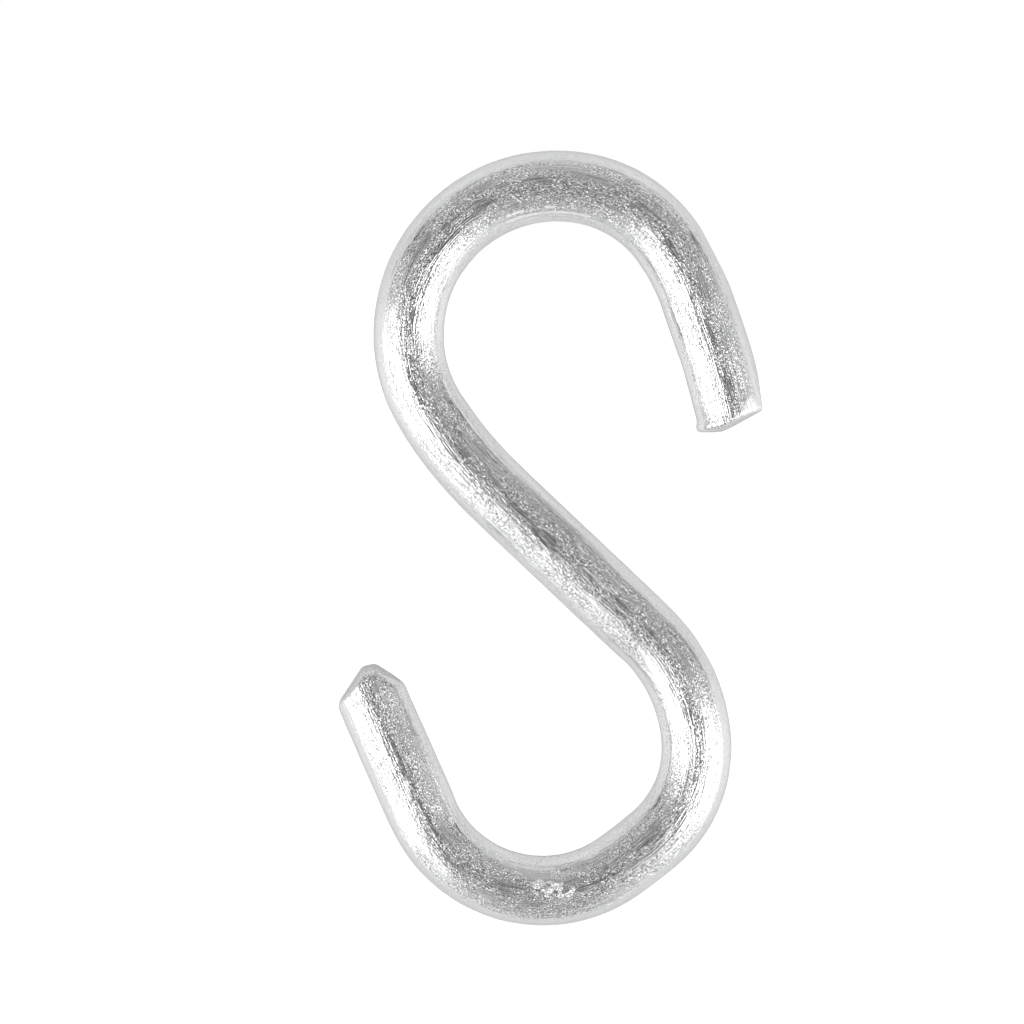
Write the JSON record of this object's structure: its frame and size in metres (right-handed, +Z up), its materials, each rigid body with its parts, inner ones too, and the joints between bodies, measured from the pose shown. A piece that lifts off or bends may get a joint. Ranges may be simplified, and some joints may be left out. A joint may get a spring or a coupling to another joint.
{
  "type": "s hook",
  "caption": "S-shaped steel hook bent from round wire: its upper bend hangs on a bar, ring or chain and its lower bend carries the load.",
  "frame": {"origin": "the point inside the upper bend that bears on the bar or ring above, on the middle of the wire", "axes": "+Z up, as the hook hangs; the S lies in the X-Z plane and its upper tip is on the +X side; +Y is across the wire, away from the front"},
  "size_m": [0.034, 0.0057, 0.0623],
  "materials": {
    "zinc_plated_steel": "bright zinc plating over drawn steel wire, mottled and scuffed"
  },
  "bodies": {
    "root": {"hook": "zinc_plated_steel"}
  },
  "joints": []
}
